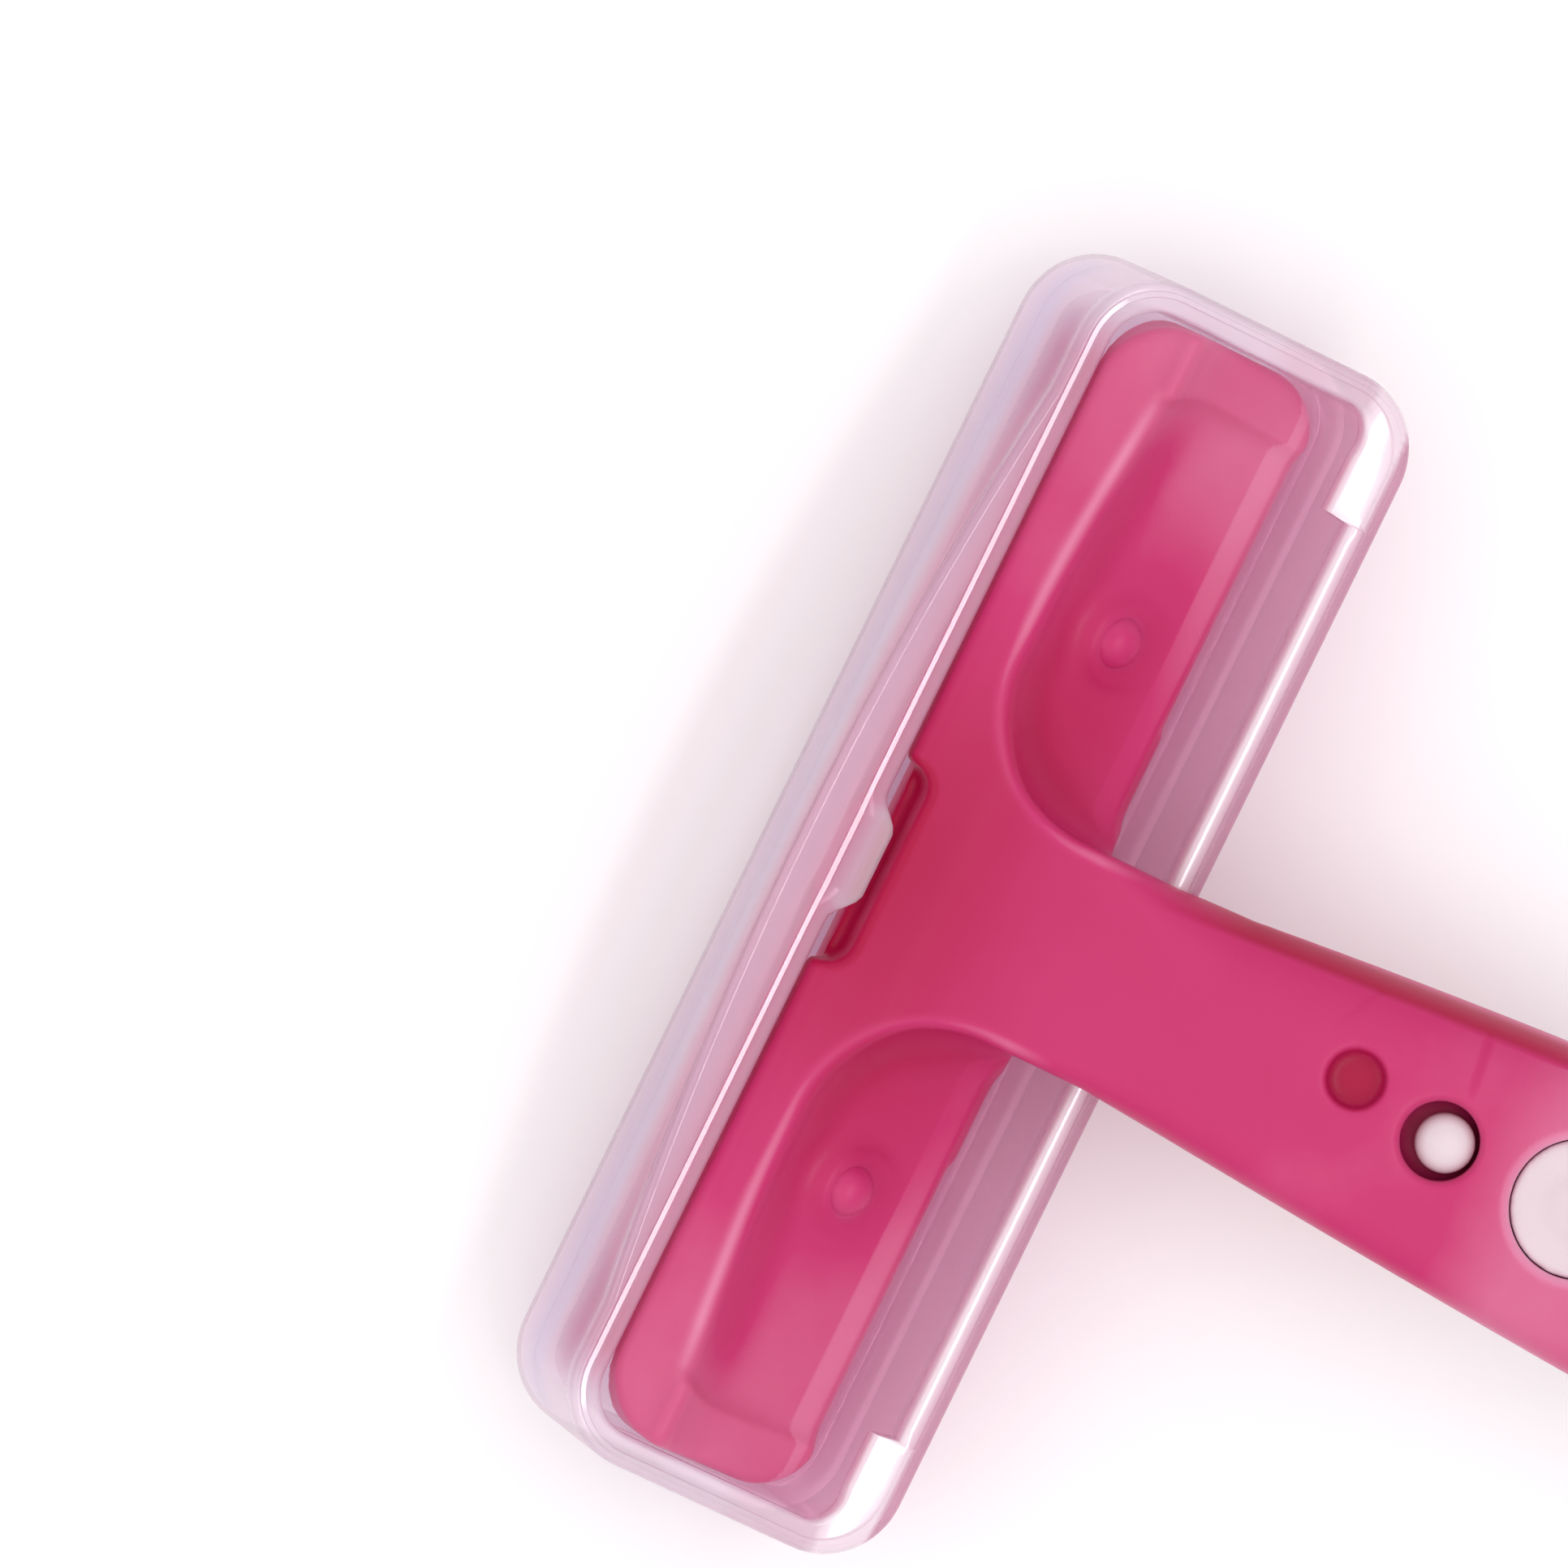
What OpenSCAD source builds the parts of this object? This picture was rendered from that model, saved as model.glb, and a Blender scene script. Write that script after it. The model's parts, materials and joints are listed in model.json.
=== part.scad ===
// One-use body razor: a fixed head moulded in one with its handle, a single guarded blade held by a
// riveted clamp bar, a soft grip whose plugs show through the back, and a clear push-on cap.
// The razor lies on its front: X runs along the head, the handle runs towards -Y and its back faces +Z.
// Head pieces are drawn in the head's own frame: y to the clamp side, z to the back, z = 0 at the skin.

/* [Head] */
// Length of the head along the blade
head_len = 44.5; // [40:0.5:56]
// Width of the head, guard bar side to clamp side
head_w = 9; // [8.6:0.1:11]
// Lean of the head against the handle, in degrees
head_tilt = 17; // [12:1:20]
// Shift of the head's middle towards the clamp side
head_shift = 0.8; // [0.4:0.1:1.2]
// Radius of the head's corners seen from the front
head_corner_r = 2.7; // [1:0.1:3]
// Width of the guard bar that stretches the skin
guard_bar_w = 2.6; // [2:0.1:3]
// Depth of the trough between guard bar and blade
trough_depth = 2.6; // [2:0.1:2.8]
// Height of the guard bar's back above the skin
guard_bar_back = 3.3; // [3.1:0.1:3.6]
// Thickness of the web that closes the back's recess at each end of the head
end_web_t = 1.85; // [1:0.05:2.5]
// Length of each tab on the guard bar's inner edge
tab_len = 1; // [0.6:0.1:2]
// Distance between neighbouring tabs
tab_pitch = 7.65; // [5:0.05:9]
// Height of a tab above the guard bar's inner edge
tab_proud = 0.5; // [0.3:0.1:0.8]

/* [Blade] */
// Distance from the head's end to the blade's end
blade_end = 3.45; // [3:0.05:5]
// Width of the blade from edge to back
blade_w = 4.4; // [4:0.1:4.8]
// Thickness of the blade
blade_t = 0.12; // [0.1:0.01:0.2]
// Lean of the blade against the skin, in degrees
blade_angle = 38; // [34:1:40]
// Set-back of the cutting edge behind the skin plane
edge_depth = 0.35; // [0.2:0.05:0.5]
// Distance from the cutting edge to the post holes
post_inset = 1.6; // [1.55:0.05:2.2]
// Distance between the two posts
post_span = 22; // [14:0.5:26]
// Radius of a post
post_r = 0.6; // [0.4:0.05:0.7]
// Radius of the melted head of a post
rivet_r = 1.05; // [0.9:0.05:1.2]

/* [Blade guard] */
// Thickness of the safety comb's sheet
comb_t = 0.12; // [0.08:0.01:0.16]
// Number of bridges over the edge
bridge_count = 22; // [12:1:24]
// Distance from the blade's end to the first bridge
comb_end = 1; // [0.6:0.05:2]
// Width of a bridge along the edge
bridge_w = 0.5; // [0.3:0.05:0.7]

/* [Handle] */
// Distance from the head's middle to the end of the handle
handle_len = 118; // [100:1:140]
// Width of the neck
neck_w = 8; // [7:0.1:9]
// Thickness of the neck
neck_t = 2.9; // [2.4:0.1:3]
// Height of the handle's back above the frame's origin
back_z = 6; // [5.9:0.1:6.4]
// Widest part of the handle
grip_w = 12.6; // [11:0.1:15]
// Thickness of the handle at the grip
grip_t = 4.8; // [4.6:0.1:6]
// Width of the handle near its end
tail_w = 10.4; // [9:0.1:12]
// Radius of the bend of the handle seen from the side
bend_r = 620; // [450:10:900]
// Radius of the hollow corners between head and neck
neck_fillet_r = 5; // [4:0.1:6]
// Width of the thumb recess on the front
thumb_w = 5; // [4:0.1:6]
// Depth of the thumb recess
thumb_depth = 0.7; // [0.4:0.1:0.9]

/* [Soft grip] */
// Distance from the head's middle to the start of the soft grip
pad_start = 22.2; // [21:0.1:24]
// Thickness of the soft grip
pad_t = 1.5; // [1.2:0.1:1.8]
// Radius of the soft grip's front corners
pad_corner_r = 1; // [0.4:0.1:1.6]
// Gap between a white plug and the wall of its hole
plug_gap = 0.35; // [0.2:0.05:0.4]
// Depth of a plug's top below the handle's back
plug_sink = 0.3; // [0.1:0.1:0.5]

/* [Cap] */
// Wall of the clear cap
cap_wall = 1.15; // [0.9:0.05:1.3]
// Depth of the cap from rim to face
cap_depth = 9; // [8.6:0.1:11]
// Height of the cap's rim above the skin plane
cap_rim_z = 4.6; // [4.4:0.1:4.7]
// Gap between the head and the cap at the ends and the clamp side
cap_gap = 0.15; // [0.1:0.05:0.3]
// Space between the guard bar and the cap's wall
cap_guard_space = 2; // [1.8:0.1:2.4]
// Radius of the cap's corners
cap_corner_r = 3; // [2.4:0.1:3.4]
// Outward bow of the rim at the middle of the clamp side
rim_bow = 1.2; // [0.6:0.1:1.6]
// Thickness of the lip at the rim
lip_t = 1; // [0.8:0.1:1.2]
// Length of the corner lips along the guard side
corner_lip_len = 5; // [4:0.5:7]
// Width of the corner lips
corner_lip_w = 1; // [0.6:0.1:1.2]
// Length of the snap tab
snap_len = 5; // [4:0.1:6]
// Height of the snap tab above the lip
snap_proud = 0.7; // [0.5:0.1:0.8]
// Gap round the snap tab in its notch
snap_gap = 0.35; // [0.2:0.05:0.5]

/* [Hidden] */
$fn = 64;

// Reach of a cutting shape past the part, and the small gaps between touching pieces.
cut = 20;
seam = 0.02;
skin = 0.01;
post_fit = 0.03;
rivet_fit = 0.15;
pocket_fit = 0.1;
tab_fit = 0.1;

// Head's base: corners of its section as distances from the guard side, the blade's edge and the skin.
half_w = head_w / 2;
bar_inner_y = guard_bar_w - half_w;
guard_edge_z = 2.2;
guard_chamfer = 0.6;
bar_round_z = 0.7;
bar_round_y = 0.5;
bar_round_low_z = 0.15;
bar_crown_y = 1.3;
bar_inner_z = 0.1;
seat_lead_y = 0.1;
seat_lead_z = 0.25;
seat_edge_z = edge_depth + half_w * tan(blade_angle);
seat_rim = 0.15;
seat_under = 0.9;
recess_top_y = 1.6;
recess_low_y = -2.6;
recess_top_z = 4.3;
end_web_slope = 0.34;
end_web_sunk = 1;

// Trough and its tabs.
blade_len = head_len - 2 * blade_end;
trough_end = 0.65;
trough_len = blade_len - 2 * trough_end;
trough_floor_w = 0.7;
trough_slope_y = 0.5;
trough_slope_z = 0.95;
trough_lip_y = 0.8;
tab_count = 4;
tab_low_z = 0.1;
tab_h = 1;

// Clamp bar: corners of its section as distances from the blade's edge, its outer face and the skin.
clamp_face_y = half_w - snap_proud + cap_gap - tab_fit;
lip_clamp_s = 0.45;
clamp_start_s = 0.3;
clamp_lip_y = 0.4;
clamp_lip_z = 0.6;
clamp_nose_y = 0.75;
clamp_nose_z = 0.1;
clamp_crown_y = 1.7;
clamp_crown_z = -0.05;
clamp_bevel_y = 0.9;
clamp_bevel_z = 0.5;
clamp_side_y = 0.2;
clamp_side_z = 1.3;
clamp_top_z = 2.1;
post_top = 3.1;
post_foot = 0.8;
rivet_seat_r = rivet_r + rivet_fit;
rivet_boss_h = 1.2;

// Blade's ground edge and the comb's folded bridges, measured from the cutting edge.
grind_w = 0.3;
comb_start_s = 0.25;
bridge_in = 0.03;
bridge_front_s = 0.4;
bridge_back_s = 0.5;
comb_len = blade_len - 2 * comb_end;
bridge_pitch = (comb_len - bridge_w) / (bridge_count - 1);

cap_len = head_len + 2 * (cap_gap + cap_wall);
cap_top_y = half_w + cap_gap + cap_wall;
cap_low_y = -half_w - cap_guard_space - cap_wall;
bow_end = 4;
bow_chord = head_len - 2 * bow_end;
bow_r = (bow_chord * bow_chord / 4 + rim_bow * rim_bow) / (2 * rim_bow);
snap_taper = 1.3;
lip_root = 0.1;
rim_band = 2.4;
rim_facets = 360;
notch_low_z = 2;

crossbar_y = 1.75;
crossbar_end_drop = 0.7;
crossbar_level = 22.25;
neck_y = -7;
wide_y = -50;
bend_y = -22;
tail_step = 2;
crossbar_z = 1.6;
root_y = 3.9;
root_lap = 0.5;

// Thumb recess: its distance from the soft grip, and where it fades out towards the head.
thumb_from_pad = 3;
thumb_square_y = -6;
thumb_fade_y = -4;
thumb_fade_z = 0.05;
thumb_reach = 2;

// Each bubble: distance from the head's middle, offset to +X, radius of its hole.
blind_dimple = [15.7, 0.67, 1.05];
bubbles = [
    [19.4, 0, 1.45], [25, 0, 2.55], [33, 0.2, 2.9], [41.8, -0.2, 3.2], [51, 0.2, 3],
    [59.4, -0.2, 2.6], [66.8, 0.2, 2.2], [73, -0.1, 1.8], [78, 0.1, 1.4]
];
dimple_depth = 0.7;
plug_root = 0.3;
runner_w = 1.4;
runner_t = 0.7;
runner_z = 3.9;

// The part's origin: the middle of its box, on the surface it lies on.
head_cos = cos(head_tilt);
head_sin = sin(head_tilt);
cap_face_z = cap_rim_z - cap_depth;
front_y = (cap_top_y + head_shift) * head_cos - cap_face_z * head_sin;
cap_low_z = (cap_low_y + head_shift) * head_sin + cap_face_z * head_cos;
tail_low_z = back_z - pow(handle_len + bend_y, 2) / (2 * bend_r) - grip_t;
origin_y = (front_y - handle_len) / 2;
origin_z = min(cap_low_z, tail_low_z);

// Moves children from the head's middle to the part's origin.
module place() {
    translate([0, -origin_y, -origin_z])
        children();
}

// Puts children into the head's frame.
module in_head() {
    rotate([head_tilt, 0, 0])
        translate([0, head_shift, 0])
            children();
}

// Puts children into the blade's frame: y from the cutting edge to the blade's back, z to the head's back.
module in_blade() {
    in_head()
        translate([0, 0, edge_depth])
            rotate([blade_angle, 0, 0])
                children();
}

// Extrudes a section given as [y, z] points along X, centred.
module along_x(length) {
    rotate([90, 0, 90])
        linear_extrude(length, center = true)
            children();
}

// A rectangle with round corners, centred along X, from y0 to y1.
module round_rect(length, y0, y1, r) {
    translate([r - length / 2, y0])
        square([length - 2 * r, y1 - y0]);
    translate([-length / 2, y0 + r])
        square([length, y1 - y0 - 2 * r]);
    for (x = [-1, 1], y = [y0 + r, y1 - r])
        translate([x * (length / 2 - r), y])
            circle(r);
}

// The head's outline seen from the front, as a prism through the head.
module head_prism() {
    in_head()
        translate([0, 0, -cut / 4])
            linear_extrude(cut)
                round_rect(head_len, -half_w, half_w, head_corner_r);
}

// Everything on the clamp's side of the seam.
module clamp_space() {
    in_blade()
        translate([-cut * 2, -clamp_start_s, -comb_t - cut])
            cube([cut * 4, cut, cut + seam]);
}

// Section of the moulded base of the head, from the guard bar to the outer edge.
module base_section() {
    polygon([
        [-half_w, guard_edge_z],
        [-half_w, bar_round_z],
        [-half_w + bar_round_y, bar_round_low_z],
        [-half_w + bar_crown_y, 0],
        [bar_inner_y, bar_inner_z],
        [seat_lead_y, seat_lead_z],
        [half_w, seat_edge_z - seat_under],
        [half_w, seat_edge_z + seat_rim],
        [recess_top_y, recess_top_z],
        [recess_low_y, guard_bar_back],
        [-half_w + guard_chamfer, guard_bar_back - guard_chamfer / 2]
    ]);
}

// Webs that close the back's recess at both ends of the head.
module end_webs() {
    web_y = guard_chamfer - half_w;
    web_z = guard_bar_back - guard_chamfer / 2;
    web_top_z = web_z + end_web_slope * (recess_top_y - web_y);
    for (side = [-1, 1])
        in_head()
            translate([side * (head_len - end_web_t) / 2, 0, 0])
                along_x(end_web_t)
                    polygon([
                        [web_y, web_z - end_web_sunk],
                        [web_y, web_z],
                        [recess_top_y, web_top_z],
                        [recess_top_y, web_z - end_web_sunk]
                    ]);
}

// Section of the open trough in front of the base.
module trough_section() {
    polygon([
        [bar_inner_y, -cut],
        [bar_inner_y, trough_depth],
        [bar_inner_y + trough_floor_w, trough_depth],
        [trough_slope_y, trough_slope_z],
        [trough_lip_y, -1],
        [trough_lip_y, -cut]
    ]);
}

// Rounded tabs on the guard bar's inner edge.
module bar_tabs() {
    tab_y = bar_inner_y + tab_proud - tab_len / 2;
    for (i = [0:tab_count - 1])
        in_head()
            translate([(i - (tab_count - 1) / 2) * tab_pitch, tab_y, tab_low_z])
                cylinder(h = tab_h, r = tab_len / 2);
}

// Outline of the raised crossbar on the head's back.
module crossbar_plan() {
    polygon([
        [-head_len / 2, crossbar_y - crossbar_end_drop],
        [-crossbar_level / 2, crossbar_y],
        [crossbar_level / 2, crossbar_y],
        [head_len / 2, crossbar_y - crossbar_end_drop],
        [head_len / 2, head_w],
        [-head_len / 2, head_w]
    ]);
}

// Half of the handle's width at a distance y from the head's middle.
function half_width(y) =
    y > neck_y ? neck_w / 2 :
    y > wide_y ? neck_w / 2 + (grip_w - neck_w) / 2 * sin(90 * (neck_y - y) / (neck_y - wide_y)) :
    grip_w / 2 - (grip_w - tail_w) / 2 * (1 - cos(90 * (wide_y - y) / (wide_y + handle_len - tail_w / 2)));

// Outline of the handle seen from the back, with its round end.
module handle_plan() {
    end_y = tail_w / 2 - handle_len;
    side = [for (y = [crossbar_y + 1:-tail_step:end_y]) [half_width(y), y]];
    polygon(concat(
        side,
        [[tail_w / 2, end_y], [-tail_w / 2, end_y]],
        [for (i = [len(side) - 1:-1:0]) [-side[i][0], side[i][1]]]
    ));
    translate([0, end_y])
        circle(tail_w / 2);
}

// Hollow corners between the crossbar and the neck.
module neck_fillets() {
    for (side = [-1, 1])
        scale([side, 1])
            difference() {
                translate([neck_w / 2 - root_lap, crossbar_y - neck_fillet_r])
                    square([neck_fillet_r + root_lap, neck_fillet_r + root_lap]);
                translate([neck_w / 2 + neck_fillet_r, crossbar_y - neck_fillet_r])
                    circle(neck_fillet_r);
            }
}

// Height of the handle's back at y: flat at the neck, then bent down.
function back_height(y) =
    y > bend_y ? back_z : back_z - (bend_y - y) * (bend_y - y) / (2 * bend_r);

// Thickness of the handle at y.
function thickness(y) =
    y > neck_y ? neck_t :
    y > bend_y ? neck_t + (grip_t - neck_t) * (neck_y - y) / (neck_y - bend_y) : grip_t;

// The handle seen from the side.
module handle_side() {
    ys = [for (y = [crossbar_y + 1:-tail_step:-handle_len]) y, -handle_len];
    polygon(concat(
        [for (y = ys) [y, back_height(y)]],
        [for (i = [len(ys) - 1:-1:0]) [ys[i], back_height(ys[i]) - thickness(ys[i])]]
    ));
}

// Solid of the handle and neck, before its recesses.
module handle_solid() {
    intersection() {
        translate([0, 0, -cut])
            linear_extrude(2 * cut)
                union() {
                    handle_plan();
                    neck_fillets();
                }
        along_x(4 * cut)
            handle_side();
    }
}

// Raised crossbar on the head's back, cut to the head's outline.
module crossbar_solid() {
    intersection() {
        translate([0, 0, crossbar_z])
            linear_extrude(back_z - crossbar_z)
                crossbar_plan();
        head_prism();
    }
}

// Block that joins the neck to the guard bar's back.
module neck_root() {
    translate([-neck_w / 2, -root_y, crossbar_z])
        cube([neck_w, root_y + crossbar_y, back_z - neck_t - crossbar_z + root_lap]);
}

// Notch in the crossbar's edge that the cap's snap tab drops into: deep at the tab, and below it only as
// deep as the clamp's face, so that the tab can slide out.
module snap_notch() {
    notch_len = snap_len + 2 * snap_gap;
    in_head() {
        translate([0, half_w, cap_rim_z - lip_t - tab_fit])
            linear_extrude(cut / 2)
                union() {
                    translate([-notch_len / 2, -snap_proud - snap_gap])
                        square([notch_len, cut / 4]);
                    for (side = [-1, 1])
                        translate([side * notch_len / 2, 0])
                            circle(snap_proud + snap_gap);
                }
        translate([-notch_len / 2, clamp_face_y, notch_low_z])
            cube([notch_len, cut / 4, cut / 4]);
    }
}

// Slot for the thumb on the handle's front.
module thumb_recess() {
    end_y = thumb_from_pad - pad_start;
    intersection() {
        translate([0, 0, -cut / 2])
            linear_extrude(cut)
                union() {
                    translate([-thumb_w / 2, end_y])
                        square([thumb_w, thumb_square_y - end_y]);
                    translate([0, end_y + skin])
                        circle(thumb_w / 2);
                }
        along_x(cut)
            polygon([
                [thumb_fade_y, back_z - neck_t - thumb_reach],
                [thumb_fade_y, back_z - neck_t + thumb_fade_z],
                [neck_y, back_z - neck_t + thumb_depth],
                [bend_y, back_z - grip_t + thumb_depth],
                [bend_y, back_z - grip_t - thumb_reach]
            ]);
    }
}

// The space in front of the handle's hard back for the soft grip, with two round corners at its start.
module pad_space() {
    corner_x = half_width(-pad_start) - pad_corner_r;
    intersection() {
        translate([0, 0, -cut])
            linear_extrude(2 * cut)
                union() {
                    translate([-cut, -2 * handle_len])
                        square([2 * cut, 2 * handle_len - pad_start - pad_corner_r]);
                    translate([-corner_x, -2 * handle_len])
                        square([2 * corner_x, 2 * handle_len - pad_start]);
                    for (side = [-1, 1])
                        translate([side * corner_x, -pad_start - pad_corner_r])
                            circle(pad_corner_r);
                }
        along_x(2 * cut)
            pad_side();
    }
}

// Side view of that space: everything in front of the seam between the handle and the soft grip.
module pad_side() {
    ys = [for (y = [-pad_start + 1:-tail_step:-handle_len]) y, -handle_len - tail_step];
    polygon(concat(
        [for (y = ys) [y, back_height(y) - thickness(y) + pad_t]],
        [[-handle_len - tail_step, -2 * cut], [-pad_start + 1, -2 * cut]]
    ));
}

// Upright cylinder at a bubble, from the soft grip up to a height below the handle's back.
module bubble_rod(b, r, sink) {
    low = back_height(-b[0]) - thickness(-b[0]) + pad_t - plug_root;
    start = b[0] < pad_start ? runner_z : low;
    translate([b[1], -b[0], start])
        cylinder(h = back_height(-b[0]) - sink - start, r = r);
}

// Round-ended runner that feeds the first plug from the soft grip.
module runner() {
    first = bubbles[0];
    translate([-runner_w / 2, -pad_start - 1, runner_z])
        cube([runner_w, pad_start + 1 - first[0], runner_t]);
    translate([-runner_w / 2, -pad_start - 1, back_z - grip_t])
        cube([runner_w, 1, runner_z - back_z + grip_t + runner_t]);
}

module handle_body() {
    color([0.86, 0.31, 0.54])
        difference() {
            union() {
                intersection() {
                    union() {
                        in_head()
                            along_x(head_len)
                                base_section();
                        end_webs();
                    }
                    head_prism();
                }
                crossbar_solid();
                handle_solid();
                neck_root();
                post_holes(rivet_seat_r, rivet_boss_h, post_top - rivet_boss_h);
            }
            clamp_space();
            blade_pocket();
            difference() {
                in_head()
                    along_x(trough_len)
                        trough_section();
                bar_tabs();
            }
            post_holes(post_r + post_fit, cut, -1);
            post_holes(rivet_seat_r, cut, post_top);
            snap_notch();
            thumb_recess();
            pad_space();
            for (b = bubbles)
                bubble_rod(b, b[2], -1);
            runner();
            translate([blind_dimple[1], -blind_dimple[0], back_z - dimple_depth])
                cylinder(h = cut, r = blind_dimple[2]);
        }
}

// Shallow pocket for blade and comb in the base's seat.
module blade_pocket() {
    in_blade()
        translate([-blade_len / 2 - pocket_fit, -1, -comb_t])
            cube([blade_len + 2 * pocket_fit, 1 + blade_w + pocket_fit, comb_t + blade_t]);
}

// Round holes, posts or seats at right angles to the blade.
module post_holes(r, height, start) {
    for (side = [-1, 1])
        in_blade()
            translate([side * post_span / 2, post_inset, start])
                cylinder(h = height, r = r);
}

module blade_clamp() {
    color([0.85, 0.39, 0.56]) {
        intersection() {
            difference() {
                in_head()
                    along_x(head_len)
                        polygon([
                            [clamp_lip_y, clamp_lip_z],
                            [clamp_nose_y, clamp_nose_z],
                            [clamp_crown_y, clamp_crown_z],
                            [clamp_face_y - clamp_bevel_y, clamp_bevel_z],
                            [clamp_face_y - clamp_side_y, clamp_side_z],
                            [clamp_face_y, clamp_top_z],
                            [clamp_face_y, head_w],
                            [clamp_lip_y, head_w]
                        ]);
                in_blade()
                    translate([-cut * 2, -cut / 2, -comb_t])
                        cube([cut * 4, cut * 2, cut]);
                in_blade()
                    translate([-cut * 2, lip_clamp_s - cut, -cut / 2])
                        cube([cut * 4, cut, cut]);
            }
            head_prism();
        }
        post_holes(post_r, post_top + post_foot, -post_foot);
        rivet_heads();
    }
}

// Melted heads of the posts: low domes on the base's back.
module rivet_heads() {
    for (side = [-1, 1])
        in_blade()
            translate([side * post_span / 2, post_inset, post_top])
                intersection() {
                    sphere(rivet_r);
                    translate([0, 0, rivet_r])
                        cube(2 * rivet_r, center = true);
                }
}

module blade() {
    color([0.62, 0.6, 0.64])
        difference() {
            in_blade()
                along_x(blade_len)
                    polygon([
                        [0, blade_t / 2],
                        [grind_w, 0],
                        [blade_w, 0],
                        [blade_w, blade_t],
                        [grind_w, blade_t]
                    ]);
            post_holes(post_r + post_fit, cut, -cut / 2);
        }
}

module blade_guard() {
    color([0.93, 0.92, 0.93])
        difference() {
            union() {
                in_blade()
                    translate([-comb_len / 2, comb_start_s, -comb_t])
                        cube([comb_len, blade_w - comb_start_s, comb_t]);
                for (i = [0:bridge_count - 1])
                    in_blade()
                        translate([(i - (bridge_count - 1) / 2) * bridge_pitch, 0, 0])
                            along_x(bridge_w)
                                polygon([
                                    [bridge_front_s, -comb_t],
                                    [-comb_t - bridge_in, -comb_t],
                                    [-comb_t - bridge_in, blade_t + comb_t],
                                    [bridge_back_s, blade_t + comb_t],
                                    [bridge_back_s, blade_t + skin],
                                    [-bridge_in, blade_t + skin],
                                    [-bridge_in, -skin],
                                    [bridge_front_s, -skin]
                                ]);
            }
            post_holes(post_r + post_fit, cut, -cut / 2);
        }
}

module grip_pad() {
    color([0.94, 0.91, 0.92])
        union() {
            intersection() {
                handle_solid();
                pad_space();
            }
            for (b = bubbles)
                bubble_rod(b, b[2] - plug_gap, plug_sink);
            runner();
        }
}

// Outline of the cap: a rounded box, with the clamp side bowed outward when bow is true.
module cap_plan(inset, bow) {
    round_rect(cap_len - 2 * inset, cap_low_y + inset, cap_top_y - inset, cap_corner_r - inset / 2);
    if (bow)
        intersection() {
            translate([-bow_chord / 2, 0])
                square([bow_chord, cap_top_y + rim_bow]);
            translate([0, cap_top_y + rim_bow - bow_r - inset])
                circle(bow_r, $fn = rim_facets);
        }
}

// The lip's straight inner edge, its snap tab and the two corner lips.
module lip_plan() {
    translate([-bow_chord / 2, half_w + cap_gap])
        square([bow_chord, cap_wall]);
    polygon([
        [-snap_len / 2, half_w + cap_gap + lip_root],
        [snap_taper - snap_len / 2, half_w + cap_gap - snap_proud],
        [snap_len / 2 - snap_taper, half_w + cap_gap - snap_proud],
        [snap_len / 2, half_w + cap_gap + lip_root]
    ]);
    for (side = [-1, 1])
        scale([side, 1])
            translate([cap_len / 2 - corner_lip_len, cap_low_y + cap_wall - lip_root])
                square([corner_lip_len - cap_wall + lip_root, corner_lip_w + lip_root]);
}

module cap() {
    color([0.93, 0.86, 0.88, 0.35])
        in_head()
            difference() {
                union() {
                    translate([0, 0, cap_face_z])
                        linear_extrude(cap_depth)
                            cap_plan(0, false);
                    translate([0, 0, cap_rim_z - rim_band])
                        linear_extrude(rim_band)
                            cap_plan(0, true);
                }
                difference() {
                    translate([0, 0, cap_face_z + cap_wall])
                        linear_extrude(cap_depth)
                            cap_plan(cap_wall, false);
                    translate([0, 0, cap_rim_z - lip_t])
                        linear_extrude(lip_t + 1)
                            lip_plan();
                }
            }
}

place() handle_body();
place() blade_clamp();
place() blade();
place() blade_guard();
place() grip_pad();
place() cap();
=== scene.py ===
"""Looks for a one-use body razor with a clear push-on cap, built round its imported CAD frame.

Moulded pieces are distance fields in millimetres, measured from the head's middle, and are turned into
smooth meshes. The clear cap is a loft of closed rings. Blade and comb keep their CAD meshes.
"""

import json
import math

import bpy
import numpy as np
from mathutils import Matrix, Vector


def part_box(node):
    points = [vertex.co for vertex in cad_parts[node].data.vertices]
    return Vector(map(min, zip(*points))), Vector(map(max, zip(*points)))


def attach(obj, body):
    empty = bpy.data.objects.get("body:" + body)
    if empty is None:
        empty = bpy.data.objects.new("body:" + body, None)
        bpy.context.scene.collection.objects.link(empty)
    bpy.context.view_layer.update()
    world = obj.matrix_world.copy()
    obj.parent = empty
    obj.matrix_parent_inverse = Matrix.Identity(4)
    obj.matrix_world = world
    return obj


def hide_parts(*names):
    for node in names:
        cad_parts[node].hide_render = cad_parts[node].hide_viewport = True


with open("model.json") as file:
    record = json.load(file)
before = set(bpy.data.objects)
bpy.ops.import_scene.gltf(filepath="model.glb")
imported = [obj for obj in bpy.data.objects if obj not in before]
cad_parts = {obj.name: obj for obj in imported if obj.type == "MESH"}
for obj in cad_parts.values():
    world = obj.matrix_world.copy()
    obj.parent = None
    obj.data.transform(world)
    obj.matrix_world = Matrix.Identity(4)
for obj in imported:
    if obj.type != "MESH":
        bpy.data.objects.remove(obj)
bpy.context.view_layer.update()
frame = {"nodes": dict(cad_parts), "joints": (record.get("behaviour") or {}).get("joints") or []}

MM = 0.001
GRID = 0.14

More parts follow.
